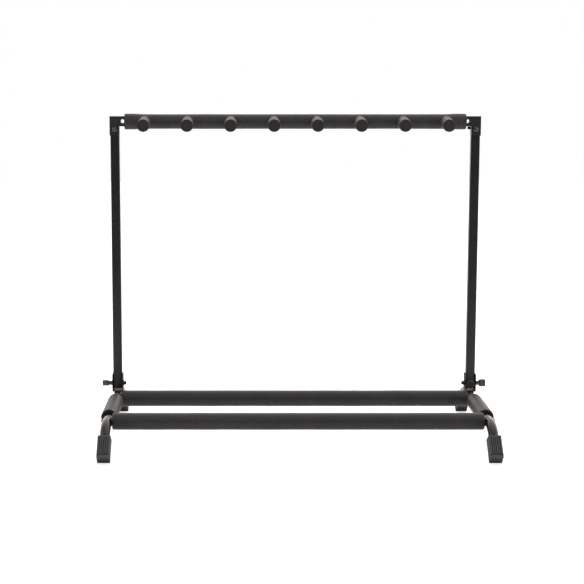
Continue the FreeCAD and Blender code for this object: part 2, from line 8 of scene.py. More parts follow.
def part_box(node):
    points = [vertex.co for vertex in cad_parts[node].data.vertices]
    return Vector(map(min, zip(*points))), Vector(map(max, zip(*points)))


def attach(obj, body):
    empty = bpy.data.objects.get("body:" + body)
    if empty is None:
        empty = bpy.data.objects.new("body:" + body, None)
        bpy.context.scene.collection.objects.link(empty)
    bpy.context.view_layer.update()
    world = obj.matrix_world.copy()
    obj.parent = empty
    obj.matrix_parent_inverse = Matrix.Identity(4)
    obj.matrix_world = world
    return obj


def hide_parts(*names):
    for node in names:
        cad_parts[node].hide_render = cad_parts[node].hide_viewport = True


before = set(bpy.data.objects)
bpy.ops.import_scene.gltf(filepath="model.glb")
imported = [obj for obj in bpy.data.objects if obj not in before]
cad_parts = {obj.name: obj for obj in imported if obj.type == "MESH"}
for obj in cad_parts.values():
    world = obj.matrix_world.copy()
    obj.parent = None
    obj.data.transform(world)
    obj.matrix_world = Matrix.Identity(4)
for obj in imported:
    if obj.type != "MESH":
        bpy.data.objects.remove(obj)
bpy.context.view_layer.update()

# The guitar rack's looks: foam covers and rubber boots are built here, and the steel and plastic
# parts are the CAD nodes with worked materials. Metres, in the CAD frame.

SIDES = ("left", "right")
PEGS = range(1, 9)

# ---- foam covers ----
AROUND = 96                 # points round a foam cover
ANGLES = [2 * math.pi * k / AROUND for k in range(AROUND)]
FOAM_STEP = 0.006           # distance between a foam cover's rings
FOAM_EDGE = 0.003
FOAM_WAVE = 0.00028         # how far a cover's skin strays from true
END_WAVE = FOAM_WAVE * 0.6
RAIL_WAVE = FOAM_WAVE * 1.3
PEG_TIP_WAVE = FOAM_WAVE * 0.5
CUT_WAVE = 0.0003           # unevenness of a cut face
BORE_R = 0.01105            # hole that fits on a tube, in a foam cover or a boot
CUT_DEPTH = 0.008           # how far a bore is modelled in from a cover's end
BORE_MOUTH = ((CUT_DEPTH, 0.0), (0.0006, 0.0), (0.0002, 0.0005))    # (depth, growth) of its rounded mouth
FACE_SINK = 0.0001          # how far the middle of a cut face is sunk
CUT_ZONE = 0.0081           # faces this near a cover's end may be part of its cut
CUT_FACING = 0.8            # a face this nearly square to the cover's axis is part of a cut end

# ---- rail cover ----
RAIL_EDGE = 0.002
ARM_GROWTH = 0.0013         # how much the bracket arms swell the rail's cover
ARM_SQUARE = 0.035          # how much squarer the swollen stretch is, as a share of its radius
ARM_ZONE = 0.036            # length of the swollen stretch
ARM_FADE = 0.032            # length over which the swelling dies away
ARM_HALF_DEEP = 0.0081
ARM_HALF_TALL = 0.0118
ARM_CLEARANCE = 0.00005     # gap between the hole and the arm's top
ARM_MOUTH = ((CUT_DEPTH, 0.0), (0.0006, 0.0), (0.0001, 0.0006))     # (depth, growth) of the hole's mouth

# ---- pegs ----
PEG_R = 0.0147
PEG_REACH = 0.057
PEG_DROOP = math.radians(8.0)
PEG_EDGE = 0.0024
PEG_BANDS = 9               # bands of faces along a peg's side
PEG_SEAT_GAP = 0.0001       # gap between a peg's saddle and the rail's cover
PEG_FACE_DEEP = 0.0008      # faces nearer the tip than this belong to the cut face
PRESS_R = 0.0092            # shallow ring pressed in a peg's face
PRESS_DEPTH = 0.00035
PRESS_RINGS = ((PRESS_R + 0.0009, 0.0), (PRESS_R + 0.0003, PRESS_DEPTH),
               (PRESS_R - 0.0003, PRESS_DEPTH), (PRESS_R - 0.0009, 0.0))    # (radius, depth)
FACE_DISH = ((0.0055, 0.0001), (0.0025, 0.0002))    # (radius, depth) inside the pressed ring

# ---- boots ----
BOOT_LEAN = math.radians(39.2)
BOOT_HALF_THICK = 0.014
BOOT_FRONT = 0.0476
BOOT_HEEL = 0.0506
BOOT_SOLE = 0.0048
BOOT_CORNER = 0.0022
BOOT_EDGE = 0.0010
BOOT_EDGE_STEPS = 3
BOOT_SIDE_POINTS = 88
BOOT_CORNER_POINTS = 6
MOUTH_DEEP = 0.006          # how far a boot's hole is modelled in from its top
MOUTH_EDGE = 0.0004
MOUTH_FLARE = 1.06          # growth of the hole at a boot's top
RIB_PITCH = 0.0044
RIB_DEPTH = 0.0010
RIB_MARGIN = 0.0024         # plain band above the ribs
RIB_RUN_IN = 0.0008         # height over which the grooves reach their full depth
RIB_PLAIN = 0.3             # ungrooved stretch next to a corner, in rib pitches
GROOVE_HALF = 0.30          # half a groove's width, in rib pitches
GROOVE_SHADE = 0.7          # share of the full depth, both sides added, where a groove gets the painted shade
BOOT_LIP = 0.0034           # plain band between the ribs and the toe's edge
LIP_GROOVE = 0.0008

# ---- shading ----
FOAM_SMOOTH = 38.0          # degrees between faces above which an edge stays sharp
BOOT_SMOOTH = 50.0
NOISE_LOW = 0.3             # nearly all of a noise node's values lie between these
NOISE_HIGH = 0.7
FOAM_SPECULAR = 0.39
RUBBER_SPECULAR = 0.3
CONTACT_SHADE_HEIGHT = 0.019         # rubber below this height is darkened by a painted contact shadow
CONTACT_SHADE_COLOUR = (0.004, 0.004, 0.0042)
RIM_INNER = 0.0024          # how far in from a knob's edge its painted rim highlight begins
RIM_OUTER = 0.0018          # and reaches its full tone
RIM_HIGHLIGHT = 9.0             # how much lighter the painted rim highlight is than the dish

# ---- camera: a long lens, slightly above, looking a little down ----
CAMERA_AT = (-0.1192, -2.5894, 0.8052)
CAMERA_DOWN = math.radians(6.2)
LENS = 70.9
SENSOR = 36.0
SHIFT = (0.0822, -0.1406)
CLIP_END = 50.0

# ---- studio ----
FLOOR_HALF = 4.0
FLOOR_FRONT = -1.0          # where the white floor begins, on the camera's side
FLOOR_DROP = 0.0002         # gap under the boots' soles
FLOOR_SHADES = (0.90, 0.94)
FLOOR_BOUNCE = 0.10         # glow that the object gets from the floor
FLOOR_GLOW = 0.55           # glow that the camera sees
UNLIT_SIDE = (-0.22, -1.0, 0.08)
WORLD_STOPS = [(0.0, (2.0, 1.88, 1.79)), (0.22, (1.75, 1.65, 1.57)), (0.42, (0.92, 0.86, 0.82)),
               (0.72, (0.54, 0.52, 0.51)), (0.90, (0.26, 0.25, 0.25)), (1.0, (0.18, 0.177, 0.177))]
LAMPS = [("overhead", (0.3, 0.2, 2.6), (0, 0, 0.3), (3.0, 2.0), 9.0),
         ("right_side", (2.6, -0.9, 1.2), (0, 0, 0.4), (0.5, 1.8), 9.0),
         ("left_side", (-2.6, -0.6, 1.4), (0, 0, 0.4), (0.5, 1.8), 7.0),
         ("front_fill", (-0.4, -2.4, 2.2), (0, 0, 0.6), (1.6, 1.0), 11.0)]


# ---- node helpers ----
def new_material(name):
    material = bpy.data.materials.new(name)
    material.use_nodes = True
    nodes = material.node_tree.nodes
    shader = nodes["Principled BSDF"]
    place = nodes.new("ShaderNodeTexCoord").outputs["Object"]
    return material, nodes, material.node_tree.links, shader, place


def noise_node(nodes, links, place, scale, detail=2.0, rough=0.5, stretch=None):
    node = nodes.new("ShaderNodeTexNoise")
    node.inputs["Scale"].default_value = scale
    node.inputs["Detail"].default_value = detail
    node.inputs["Roughness"].default_value = rough
    if stretch:
        mapping = nodes.new("ShaderNodeMapping")
        mapping.inputs["Scale"].default_value = stretch
        links.new(place, mapping.inputs["Vector"])
        place = mapping.outputs["Vector"]
    links.new(place, node.inputs["Vector"])
    return node.outputs["Fac"]


def ramp(nodes, links, value, stops):
    node = nodes.new("ShaderNodeValToRGB")
    node.color_ramp.elements[0].position = stops[0][0]
    node.color_ramp.elements[1].position = stops[-1][0]
    for position, _ in stops[1:-1]:
        node.color_ramp.elements.new(position)
    for element, (_, colour) in zip(node.color_ramp.elements, stops):
        element.color = (*colour, 1.0)
    links.new(value, node.inputs["Fac"])
    return node.outputs["Color"]


def spread(nodes, links, value, low, high):
    """a noise stretched to run from low to high"""
    node = nodes.new("ShaderNodeMapRange")
    node.inputs["From Min"].default_value = NOISE_LOW
    node.inputs["From Max"].default_value = NOISE_HIGH
    node.inputs["To Min"].default_value = low
    node.inputs["To Max"].default_value = high
    links.new(value, node.inputs["Value"])
    return node.outputs["Result"]


def bump(nodes, links, height, strength, distance, below=None):
    node = nodes.new("ShaderNodeBump")
    node.inputs["Strength"].default_value = strength
    node.inputs["Distance"].default_value = distance
    links.new(height, node.inputs["Height"])
    if below:
        links.new(below, node.inputs["Normal"])
    return node.outputs["Normal"]


def colour_mix(nodes, links, share):
    """a mix of two colours: its result, and the sockets of the colours at share 0 and 1"""
    node = nodes.new("ShaderNodeMix")
    node.data_type = "RGBA"
    links.new(share, node.inputs["Factor"])
    return node.outputs["Result"], node.inputs["A"], node.inputs["B"]


def scaled(colour, factor):
    return tuple(channel * factor for channel in colour)


def vector_node(nodes, links, operation, source):
    node = nodes.new("ShaderNodeVectorMath")
    node.operation = operation
    links.new(source, node.inputs[0])
    return node


def mottled(nodes, links, value, colour, stops):
    """the colour made darker and lighter by a value, from (position, factor) stops"""
    return ramp(nodes, links, value, [(position, scaled(colour, factor)) for position, factor in stops])


def foam_material(name, colour, rough, pore):
    """closed-cell foam: a fine pebbled skin, broad tone drift and faint scuffs"""
    material, nodes, links, shader, place = new_material(name)
    drift = noise_node(nodes, links, place, 22.0, 4.0)
    tone = mottled(nodes, links, drift, colour, [(0.3, 0.82), (0.55, 1.0), (0.75, 1.25)])
    links.new(tone, shader.inputs["Base Color"])
    scuffs = noise_node(nodes, links, place, 140.0, 5.0, 0.65)
    links.new(spread(nodes, links, scuffs, rough - 0.07, rough + 0.07), shader.inputs["Roughness"])
    grain = noise_node(nodes, links, place, 1500.0, 3.0, 0.6)
    soft = bump(nodes, links, scuffs, 0.25, 0.0008)
    links.new(bump(nodes, links, grain, pore, 0.0004, soft), shader.inputs["Normal"])
    shader.inputs["Specular IOR Level"].default_value = FOAM_SPECULAR
    shader.inputs["Sheen Weight"].default_value = 0.06
    shader.inputs["Sheen Roughness"].default_value = 0.45
    shader.inputs["Sheen Tint"].default_value = (1.0, 0.94, 0.88, 1.0)
    return material


def paint_material(name, colour, rough, peel=0.12, metallic=0.0, specular=0.5):
    """powder coat or dark plating: orange-peel skin, tone drift and slightly polished patches"""
    material, nodes, links, shader, place = new_material(name)
    drift = noise_node(nodes, links, place, 9.0, 5.0, 0.6)
    tone = mottled(nodes, links, drift, colour, [(0.3, 0.85), (0.55, 1.0), (0.75, 1.18)])
    links.new(tone, shader.inputs["Base Color"])
    rub = noise_node(nodes, links, place, 60.0, 6.0, 0.65)
    links.new(spread(nodes, links, rub, rough - 0.06, rough + 0.08), shader.inputs["Roughness"])
    skin = noise_node(nodes, links, place, 900.0, 2.0)
    links.new(bump(nodes, links, skin, peel, 0.0003), shader.inputs["Normal"])
    shader.inputs["Metallic"].default_value = metallic
    shader.inputs["Specular IOR Level"].default_value = specular
    return material


def steel_material(name, colour, rough):
    """zinc-plated or turned steel: fine stretched grain and uneven tone"""
    material, nodes, links, shader, place = new_material(name)
    drift = noise_node(nodes, links, place, 160.0, 4.0)
    links.new(mottled(nodes, links, drift, colour, [(0.35, 0.8), (0.65, 1.0)]), shader.inputs["Base Color"])
    grain = noise_node(nodes, links, place, 700.0, 3.0, 0.6, (0.15, 1.0, 1.0))
    links.new(spread(nodes, links, grain, rough - 0.08, rough + 0.1), shader.inputs["Roughness"])
    links.new(bump(nodes, links, grain, 0.08, 0.0002), shader.inputs["Normal"])
    shader.inputs["Metallic"].default_value = 1.0
    return material


def rubber_material(name, colour, rough):
    """moulded rubber: speckled dusty skin with a pebble grain, and a painted contact shadow near the floor"""
    material, nodes, links, shader, place = new_material(name)
    dust = noise_node(nodes, links, place, 420.0, 6.0, 0.72)
    skin = mottled(nodes, links, dust, colour, [(0.36, 0.65), (0.52, 1.0), (0.68, 1.9)])
    height = nodes.new("ShaderNodeSeparateXYZ")
    links.new(place, height.inputs["Vector"])
    # painted contact shadow: the rubber is darkened towards the floor
    contact_shade = nodes.new("ShaderNodeMapRange")
    contact_shade.inputs["From Max"].default_value = CONTACT_SHADE_HEIGHT
    links.new(height.outputs["Z"], contact_shade.inputs["Value"])
    tint, low, high = colour_mix(nodes, links, contact_shade.outputs["Result"])
    low.default_value = (*CONTACT_SHADE_COLOUR, 1.0)
    links.new(skin, high)
    links.new(tint, shader.inputs["Base Color"])
    links.new(spread(nodes, links, dust, rough - 0.1, rough + 0.1), shader.inputs["Roughness"])
    shader.inputs["Specular IOR Level"].default_value = RUBBER_SPECULAR
    pebble = nodes.new("ShaderNodeTexVoronoi")
    pebble.inputs["Scale"].default_value = 900.0
    links.new(place, pebble.inputs["Vector"])
    links.new(bump(nodes, links, pebble.outputs["Distance"], 0.35, 0.0004), shader.inputs["Normal"])
    return material


def plastic_material(name, colour, rough):
    """injection-moulded plastic with a light spark-eroded grain"""
    material, nodes, links, shader, place = new_material(name)
    drift = noise_node(nodes, links, place, 120.0, 4.0)
    links.new(mottled(nodes, links, drift, colour, [(0.35, 0.85), (0.65, 1.12)]), shader.inputs["Base Color"])
    grain = noise_node(nodes, links, place, 1800.0, 2.0)
    links.new(spread(nodes, links, grain, rough - 0.06, rough + 0.06), shader.inputs["Roughness"])
    links.new(bump(nodes, links, grain, 0.2, 0.0003), shader.inputs["Normal"])
    return material


def rim_highlight_plastic_material(name, colour, rough, node_name):
    """plastic of a round knob along Y, whose raised rim carries a painted highlight, lighter than its dished
    face
    """
    low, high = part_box(node_name)
    radius = (high.x - low.x) / 2
    material = plastic_material(name, colour, rough)
    nodes = material.node_tree.nodes
    links = material.node_tree.links
    base_colour = nodes["Principled BSDF"].inputs["Base Color"]
    skin = base_colour.links[0].from_socket
    offset = vector_node(nodes, links, "SUBTRACT", nodes.new("ShaderNodeTexCoord").outputs["Object"])
    offset.inputs[1].default_value = (low + high) / 2
    flat = vector_node(nodes, links, "MULTIPLY", offset.outputs["Vector"])
    flat.inputs[1].default_value = (1.0, 0.0, 1.0)
    reach = vector_node(nodes, links, "LENGTH", flat.outputs["Vector"])
    rim = nodes.new("ShaderNodeMapRange")
    rim.inputs["From Min"].default_value = radius - RIM_INNER
    rim.inputs["From Max"].default_value = radius - RIM_OUTER
    links.new(reach.outputs["Value"], rim.inputs["Value"])
    tint, dish_socket, highlight_socket = colour_mix(nodes, links, rim.outputs["Result"])
    links.new(skin, dish_socket)
    highlight_socket.default_value = (*scaled(colour, RIM_HIGHLIGHT), 1.0)
    links.new(tint, base_colour)
    return material


# ---- materials ----
FOAM = foam_material("foam_skin", (0.0218, 0.0204, 0.0216), 0.50, 0.25)
RAIL_FOAM = foam_material("rail_foam_skin", (0.0345, 0.0326, 0.0343), 0.56, 0.25)
PEG_FACE = foam_material("peg_face", (0.0245, 0.0235, 0.0238), 0.75, 0.5)
# cut ends: raw cut foam, rougher, with a painted shade that makes them darker than the skin
FOAM_CUT_SHADE = foam_material("foam_cut_end_shade", (0.0120, 0.0115, 0.0118), 0.85, 0.8)
TUBE_PAINT = paint_material("tube_black_paint", (0.006, 0.0058, 0.0058), 0.14, 0.03, specular=0.62)
UPRIGHT_PAINT = paint_material("upright_black_paint", (0.0110, 0.0104, 0.0116), 0.34, 0.08)
BASE_PAINT = paint_material("base_bracket_black_paint", (0.0075, 0.0073, 0.0075), 0.5, 0.1, specular=0.14)
BRACKET_PAINT = paint_material("bracket_black_paint", (0.019, 0.0188, 0.0192), 0.36, 0.15)
BLACK_ZINC = paint_material("black_zinc", (0.10, 0.10, 0.104), 0.26, 0.03, 1.0)
BLACK_OXIDE = paint_material("black_oxide", (0.010, 0.0098, 0.010), 0.38, 0.05, specular=0.3)
DOME_BLACK = paint_material("dome_black", (0.10, 0.10, 0.103), 0.16, 0.02, 1.0)
BRIGHT_STEEL = steel_material("bright_steel", (0.62, 0.62, 0.64), 0.3)
RUBBER = rubber_material("boot_rubber", (0.070, 0.070, 0.075), 0.50)
# painted shade for the floors and walls of the boots' grooves
GROOVE_PAINTED_SHADE = rubber_material("boot_rubber_groove", (0.008, 0.008, 0.009), 0.8)
GREY_PLASTIC = plastic_material("grey_plastic", (0.060, 0.060, 0.063), 0.5)
BLACK_PLASTIC = plastic_material("black_plastic", (0.012, 0.012, 0.013), 0.42)
# the lock knob's rim gets a painted highlight
LOCK_PLASTIC = rim_highlight_plastic_material("lock_knob_plastic", (0.008, 0.008, 0.0085), 0.45, "lock_knob")


# ---- mesh helpers ----
def finish_piece(name, mesh_data, materials, body, nodes, smooth_degrees=FOAM_SMOOTH):
    """turn a bmesh into a named piece that rides on a body and stands for its CAD nodes"""
    bmesh.ops.recalc_face_normals(mesh_data, faces=mesh_data.faces)
    mesh = bpy.data.meshes.new(name)
    mesh_data.to_mesh(mesh)
    mesh_data.free()
    for material in materials:
        mesh.materials.append(material)
    mesh.shade_smooth()
    mesh.set_sharp_from_angle(angle=math.radians(smooth_degrees))
    piece = bpy.data.objects.new(name, mesh)
    bpy.context.scene.collection.objects.link(piece)
    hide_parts(*nodes)
    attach(piece, body)
    return piece


def add_loft(target, rings):
    """skin a list of equal rings of points"""
    made = [[target.verts.new(point) for point in ring] for ring in rings]
    for one, two in zip(made, made[1:]):
        for k in range(len(one)):
            after = (k + 1) % len(one)
            target.faces.new((one[k], one[after], two[after], two[k]))
    return made


def cap(target, ring, material_index=0):
    target.faces.new(ring).material_index = material_index


def smooth_step(share):
    return share * share * (3 - 2 * share)


def wave(point, size):
    """slow uneven drift of a soft skin"""
    return size * (noise.noise(point * 14.0) + 0.5 * noise.noise(point * 41.0))


def circle_ring(centre, across, up, radius, wobble=0.0):
    ring = []
    for angle in ANGLES:
        way = across * math.cos(angle) + up * math.sin(angle)
        point = centre + way * radius
        ring.append(point + way * (wave(point, wobble) if wobble else 0.0))
    return ring


def edge_steps(size, steps=5):
    """pairs that round an edge, from the end face to the side: how far in from the side and the end"""
    turns = [math.pi / 2 * k / steps for k in range(steps + 1)]
    return [(size * (1 - math.sin(turn)), size * (1 - math.cos(turn))) for turn in turns]


def stations(length, margin):
    """evenly spaced places along a cover, from one rounded edge to the other"""
    count = max(2, round((length - 2 * margin) / FOAM_STEP))
    return [margin + (length - 2 * margin) * k / count for k in range(count + 1)]


def end_rings(place, inward, across, up, radius):
    """rings from inside the bore, over the cut face and round the edge to the side"""
    rings = [circle_ring(place + inward * depth, across, up, BORE_R + growth) for depth, growth in BORE_MOUTH]
    middle = (BORE_R + radius - FOAM_EDGE) / 2
    rings.append(circle_ring(place + inward * FACE_SINK, across, up, middle, CUT_WAVE))
    for inset, depth in edge_steps(FOAM_EDGE):
        rings.append(circle_ring(place + inward * depth, across, up, radius - inset, END_WAVE))
    return rings


def mark_cut_ends(target, axis, start, finish_at):
    """faces that look out of either end are raw cut foam and get a painted shade"""
    target.normal_update()
    low = start.dot(axis)
    high = finish_at.dot(axis)
    for face in target.faces:
        place = face.calc_center_median().dot(axis)
        near = min(place - low, high - place) < CUT_ZONE
        if near and abs(face.normal.dot(axis)) > CUT_FACING:
            face.material_index = 1


def pipe_mesh(rings, axis, start, finish_at):
    """closed mesh of a foam pipe, with its cut ends marked"""
    target = bmesh.new()
    made = add_loft(target, rings)
    cap(target, made[0], 1)
    cap(target, made[-1], 1)
    mark_cut_ends(target, axis, start, finish_at)
    return target


def foam_cover(name, node, along, body):
    """foam pipe on a tube: cut ends, rounded edges, skin that strays a little from true"""
    low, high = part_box(node)
    centre = (low + high) / 2
    axis = Vector((1, 0, 0)) if along == "x" else Vector((0, 1, 0))
    across = Vector((0, 1, 0)) if along == "x" else Vector((1, 0, 0))
    up = Vector((0, 0, 1))
    length = (high - low).dot(axis)
    radius = (high.z - low.z) / 2
    start = centre - axis * length / 2
    finish_at = centre + axis * length / 2
    first = end_rings(start, axis, across, up, radius)
    last = end_rings(finish_at, -axis, across, up, radius)
    side = [circle_ring(start + axis * t, across, up, radius, FOAM_WAVE)
            for t in stations(length, FOAM_EDGE)[1:-1]]
    target = pipe_mesh(first + side + list(reversed(last)), axis, start, finish_at)
    piece = finish_piece(name, target, [FOAM, FOAM_CUT_SHADE], body, [node])


# ---- rail and pegs ----
def rail_ring(x, centre, radius, swell):
    """round cover, swollen and a little squarer where it covers a bracket arm"""
    ring = []
    for angle in ANGLES:
        way = Vector((0, math.cos(angle), math.sin(angle)))
        square = 1 + ARM_SQUARE * swell * (1 - math.cos(4 * angle)) / 2
        point = Vector((x, centre.y, centre.z)) + way * (radius * square + ARM_GROWTH * swell)
        ring.append(point + way * wave(point, RAIL_WAVE))
    return ring


def arm_ring(x, hole, grow):
    """oblong hole round a bracket arm"""
    ring = []
    for angle in ANGLES:
        c = math.cos(angle)
        s = math.sin(angle)
        reach = min(ARM_HALF_DEEP / max(abs(c), 1e-6), ARM_HALF_TALL / max(abs(s), 1e-6)) + grow
        ring.append(Vector((x, hole.y + c * reach, hole.z + s * reach)))
    return ring


def rail_end(x, inward, centre, radius, hole):
    """rings from inside the arm's hole, over the cut face and round the edge to the side"""
    rings = [arm_ring(x + inward * depth, hole, growth) for depth, growth in ARM_MOUTH]
    for inset, depth in edge_steps(RAIL_EDGE):
        rings.append([point + Vector((0, centre.y - point.y, centre.z - point.z)).normalized() * inset
                      for point in rail_ring(x + inward * depth, centre, radius, 1.0)])
    return rings


def rail_cover():
    low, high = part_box("rail_foam")
    centre = (low + high) / 2
    radius = (high.z - low.z) / 2
    arm_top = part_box("left_corner_bracket")[1].z
    hole = Vector((0, centre.y, arm_top - ARM_HALF_TALL + ARM_CLEARANCE))
    rings = rail_end(low.x, 1, centre, radius, hole)
    for t in stations(high.x - low.x, RAIL_EDGE)[1:-1]:
        x = low.x + t
        near = min(x - low.x, high.x - x)
        share = max(0.0, min(1.0, (ARM_ZONE + ARM_FADE / 2 - near) / ARM_FADE))
        rings.append(rail_ring(x, centre, radius, smooth_step(share)))
    rings += reversed(rail_end(high.x, -1, centre, radius, hole))
    target = pipe_mesh(rings, Vector((1, 0, 0)), low, high)
    materials = [RAIL_FOAM, FOAM_CUT_SHADE]
    piece = finish_piece("rail_cover", target, materials, "upper_frame", ["rail_foam"])


def peg_cover(number):
    """foam peg: saddle cut to the rail's cover, rounded tip and a shallow ring in its face"""
    node = "peg_foam_%d" % number
    rail_low, rail_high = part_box("rail_foam")
    low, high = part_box(node)
    seat = (rail_high.z - rail_low.z) / 2 + PEG_SEAT_GAP
    origin = Vector(((low.x + high.x) / 2, (rail_low.y + rail_high.y) / 2, (rail_low.z + rail_high.z) / 2))
    way = Vector((0, -math.cos(PEG_DROOP), -math.sin(PEG_DROOP)))
    across = Vector((1, 0, 0))
    up = way.cross(across)

    def ring_at(distance, radius, wobble=0.0):
        return circle_ring(origin + way * distance, across, up, radius, wobble)

    saddle = []
    for angle in ANGLES:
        rise = PEG_R * math.sin(angle)
        distance = math.sqrt(seat ** 2 - rise ** 2)
        saddle.append(origin + way * distance + across * PEG_R * math.cos(angle) + up * rise)
    tip = ring_at(PEG_REACH - PEG_EDGE, PEG_R, FOAM_WAVE)
    rings = [saddle]
    for band in range(1, PEG_BANDS):
        rings.append([one.lerp(two, band / PEG_BANDS) for one, two in zip(saddle, tip)])
    for inset, depth in reversed(edge_steps(PEG_EDGE)):
        rings.append(ring_at(PEG_REACH - depth, PEG_R - inset, PEG_TIP_WAVE))
    for radius, depth in PRESS_RINGS + FACE_DISH:
        rings.append(ring_at(PEG_REACH - depth, radius))
    target = bmesh.new()
    made = add_loft(target, rings)
    cap(target, made[0])
    cap(target, made[-1])
    for face in target.faces:
        if (face.calc_center_median() - origin).dot(way) > PEG_REACH - PEG_FACE_DEEP:
            face.material_index = 1
    name = "peg_cover_%d" % number
    piece = finish_piece(name, target, [FOAM, PEG_FACE], "upper_frame", [node])


# ---- boots ----
def boot_outline(half_wide, half_thick, corner, ribbed):
    """(across, through) points round a boot, anticlockwise, with a smooth groove between ribs"""
    side_wide = 2 * (half_wide - corner)
    side_thick = 2 * (half_thick - corner)
    sides = [((half_wide - corner, -half_thick), (1, 0), (0, -1), side_wide),
             ((half_wide, half_thick - corner), (0, 1), (1, 0), side_thick),
             ((-half_wide + corner, half_thick), (-1, 0), (0, 1), side_wide),
             ((-half_wide, -half_thick + corner), (0, -1), (-1, 0), side_thick)]
    points = []
    for end, way, out, length in sides:
        for k in range(BOOT_SIDE_POINTS):
            along = length * (k / BOOT_SIDE_POINTS) - length
            depth = rib_groove(along + length / 2, length / 2) if ribbed else 0.0
            points.append((end[0] + way[0] * along - out[0] * depth,
                           end[1] + way[1] * along - out[1] * depth))
        pivot = (end[0] - out[0] * corner, end[1] - out[1] * corner)
        for k in range(BOOT_CORNER_POINTS):
            turn = math.pi / 2 * k / BOOT_CORNER_POINTS
            points.append((pivot[0] + corner * (out[0] * math.cos(turn) + way[0] * math.sin(turn)),
                           pivot[1] + corner * (out[1] * math.cos(turn) + way[1] * math.sin(turn))))
    return points


def rib_groove(place, half_length):
    """depth of the grooves at a place along one side"""
    if half_length - abs(place) < RIB_PITCH * RIB_PLAIN:
        return 0.0
    phase = (place / RIB_PITCH) % 1.0
    distance = min(phase, 1.0 - phase)
    return RIB_DEPTH * smooth_step(max(0.0, 1.0 - distance / GROOVE_HALF))


def boot_bottom(through):
    """how far below its top a boot ends: a slanted toe and a small flat sole"""
    crease = BOOT_HALF_THICK - BOOT_SOLE * math.cos(BOOT_LEAN)
    crease_depth = BOOT_HEEL + BOOT_SOLE * math.sin(BOOT_LEAN)
    if through > crease:
        share = (through - crease) / (BOOT_HALF_THICK - crease)
        return crease_depth + (BOOT_HEEL - crease_depth) * share
    share = (through + BOOT_HALF_THICK) / (crease + BOOT_HALF_THICK)
    return BOOT_FRONT + (crease_depth - BOOT_FRONT) * share


def boot(place, side):
    """leaning rubber boot: ribbed all round, with plain bands above and below the ribs"""
    node = "%s_%s_boot" % (place, side)
    low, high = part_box(node)
    facing = 1 if place == "front" else -1
    inner_y = high.y if place == "front" else low.y
    top = Vector(((low.x + high.x) / 2, inner_y - facing * BOOT_HALF_THICK * math.cos(BOOT_LEAN),
                  high.z - BOOT_HALF_THICK * math.sin(BOOT_LEAN)))
    through = Vector((0, facing * math.cos(BOOT_LEAN), -math.sin(BOOT_LEAN)))
    upward = Vector((0, facing * math.sin(BOOT_LEAN), math.cos(BOOT_LEAN)))
    across = Vector((1, 0, 0))
    half_wide = (high.x - low.x) / 2
    plain = boot_outline(half_wide, BOOT_HALF_THICK, BOOT_CORNER, False)
    ribbed = boot_outline(half_wide, BOOT_HALF_THICK, BOOT_CORNER, True)

    def shrunk(outline, inset):
        return [(u * (1 - inset / half_wide), v * (1 - inset / BOOT_HALF_THICK)) for u, v in outline]

    def at(outline, depth_of):
        return [top + across * u + through * v - upward * depth_of(v) for u, v in outline]

    mouth = [(BORE_R * u / math.hypot(u, v), BORE_R * v / math.hypot(u, v)) for u, v in plain]
    flare = [(u * MOUTH_FLARE, v * MOUTH_FLARE) for u, v in mouth]
    rings = [at(mouth, lambda v: MOUTH_DEEP), at(mouth, lambda v: MOUTH_EDGE), at(flare, lambda v: 0.0)]
    for inset, depth in edge_steps(BOOT_EDGE, BOOT_EDGE_STEPS):
        rings.append(at(shrunk(plain, inset), lambda v, depth=depth: depth))
    rings.append(at(plain, lambda v: RIB_MARGIN))
    ribbed_from = len(rings)
    rings.append(at(ribbed, lambda v: RIB_MARGIN + RIB_RUN_IN))
    for share in (0.25, 0.5, 0.75):
        rings.append(at(ribbed, lambda v, share=share: share * boot_bottom(v)))
    rings.append(at(ribbed, lambda v: boot_bottom(v) - BOOT_LIP - 2 * LIP_GROOVE))
    ribbed_to = len(rings)
    rings.append(at(shrunk(plain, LIP_GROOVE), lambda v: boot_bottom(v) - BOOT_LIP - LIP_GROOVE))
    rings.append(at(plain, lambda v: boot_bottom(v) - BOOT_LIP))
    for inset, depth in reversed(edge_steps(BOOT_EDGE, BOOT_EDGE_STEPS)):
        rings.append(at(shrunk(plain, inset), lambda v, depth=depth: boot_bottom(v) - depth))
    target = bmesh.new()
    made = add_loft(target, rings)
    cap(target, made[0])
    fill_sole(target, made[-1], through)
    paint_groove_shade(target, made[ribbed_from:ribbed_to], plain, ribbed)
    for vert in made[ribbed_to]:
        # the groove between the ribs and the plain band gets the painted shade as well
        for face in vert.link_faces:
            face.material_index = 1
    for vert in target.verts:
        vert.co.z = max(vert.co.z, 0.0)
    name = "boot_%s_%s" % (place, side)
    finish_piece(name, target, [RUBBER, GROOVE_PAINTED_SHADE], "base", [node], BOOT_SMOOTH)


def paint_groove_shade(target, made, plain, ribbed):
    """the floors and walls of the grooves get a painted shade"""
    count = len(plain)
    depths = [math.dist(one, two) for one, two in zip(plain, ribbed)]
    for upper, lower in zip(made, made[1:]):
        for k in range(count):
            after = (k + 1) % count
            face = target.faces.get((upper[k], upper[after], lower[after], lower[k]))
            if depths[k] + depths[after] > RIB_DEPTH * GROOVE_SHADE:
                face.material_index = 1


def fill_sole(target, ring, through):
    """two flat faces, toe and sole, that meet at a straight crease"""
    depths = [vert.co.dot(through) for vert in ring]
    middle = (max(depths) + min(depths)) / 2
    crease = middle + BOOT_HALF_THICK - BOOT_SOLE * math.cos(BOOT_LEAN)
    count = len(ring)
    crossings = [k for k in range(count) if (depths[k] < crease) != (depths[(k + 1) % count] < crease)]
    first = (crossings[0] + 1) % count
    second = (crossings[1] + 1) % count
    one = [ring[(first + k) % count] for k in range((second - first) % count + 1)]
    two = [ring[(second + k) % count] for k in range((first - second) % count + 1)]
    cap(target, one)
    cap(target, two)


